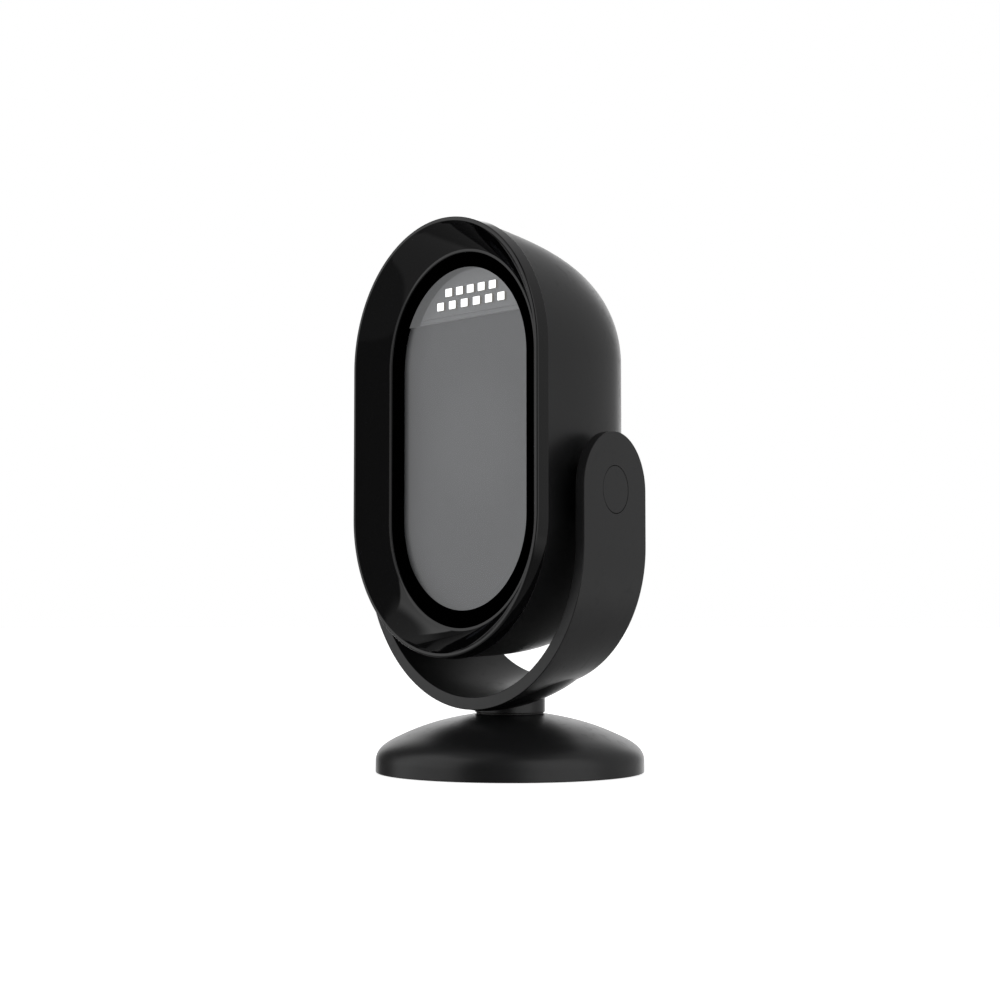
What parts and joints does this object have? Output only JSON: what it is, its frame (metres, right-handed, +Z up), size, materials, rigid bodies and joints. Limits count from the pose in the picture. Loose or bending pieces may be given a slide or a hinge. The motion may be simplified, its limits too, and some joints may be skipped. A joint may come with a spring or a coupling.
{
  "type": "presentation barcode scanner",
  "caption": "Hands-free presentation scanner: a stadium-shaped head with a front scan window tilts in a U-shaped yoke that swivels on a round weighted foot.",
  "frame": {"origin": "centre of the round foot, on the table", "axes": "+Z up along the swivel axis, -Y out of the scan window, +X to the right of a person looking along +Y at the window"},
  "size_m": [0.1092, 0.09, 0.1836],
  "materials": {
    "matt_black": "fine-textured matt black moulding",
    "gloss_black": "polished piano black",
    "mask_black": "plain black print",
    "window_clear": "clear scratch-resistant pane",
    "filter_grey": "even grey filter sheet",
    "board_grey": "satin grey board cover",
    "led_white": "white illumination LED",
    "circuit_board": "green solder mask",
    "lens_dark": "coated dark lens",
    "ribbon": "pale flat cable",
    "rubber_black": "soft black rubber",
    "bush_black": "self-lubricating bearing plastic",
    "steel": "zinc-plated steel",
    "brass": "turned brass"
  },
  "bodies": {
    "base": {"base_shell": "matt_black", "base_weight": "steel", "base_plate": "matt_black", "foot_ring": "rubber_black", "swivel_bushing": "bush_black", "base_screw_1": "steel", "base_screw_2": "steel", "base_screw_3": "steel"},
    "yoke": {"yoke_band": "matt_black", "friction_washer": "bush_black", "stop_washer": "steel", "spring_washer": "steel", "swivel_screw": "steel", "pivot_cap_right": "matt_black", "pivot_cap_left": "matt_black", "pivot_bushing_right": "bush_black", "pivot_bushing_left": "bush_black"},
    "head": {"front_bezel": "gloss_black", "rear_shell": "matt_black", "window_mask": "mask_black", "window_pane": "window_clear", "led_board": "board_grey", "filter_panel": "filter_grey", "optics_frame": "matt_black", "camera_housing": "matt_black", "camera_lens": "lens_dark", "sensor_board": "circuit_board", "main_board": "circuit_board", "processor": "mask_black", "beeper": "mask_black", "cable_socket": "mask_black", "ribbon_cable": "ribbon", "led_01": "led_white", "led_02": "led_white", "led_03": "led_white", "led_04": "led_white", "led_05": "led_white", "led_06": "led_white", "led_07": "led_white", "led_08": "led_white", "led_09": "led_white", "led_10": "led_white", "led_11": "led_white", "frame_screw_1": "steel", "frame_screw_2": "steel", "frame_screw_3": "steel", "frame_screw_4": "steel", "pivot_insert_right": "brass", "pivot_washer_right": "bush_black", "pivot_screw_right": "steel", "pivot_insert_left": "brass", "pivot_washer_left": "bush_black", "pivot_screw_left": "steel"}
  },
  "joints": [
    {"name": "yoke_swivel", "type": "hinge", "parent": "base", "child": "yoke", "pos_m": [0, 0, 0.0194], "axis": [0, 0, 1], "range_deg": [-160, 160]},
    {"name": "head_tilt", "type": "hinge", "parent": "yoke", "child": "head", "pos_m": [0, 0, 0.0925], "axis": [1, 0, 0], "range_deg": [-45, 20]}
  ]
}
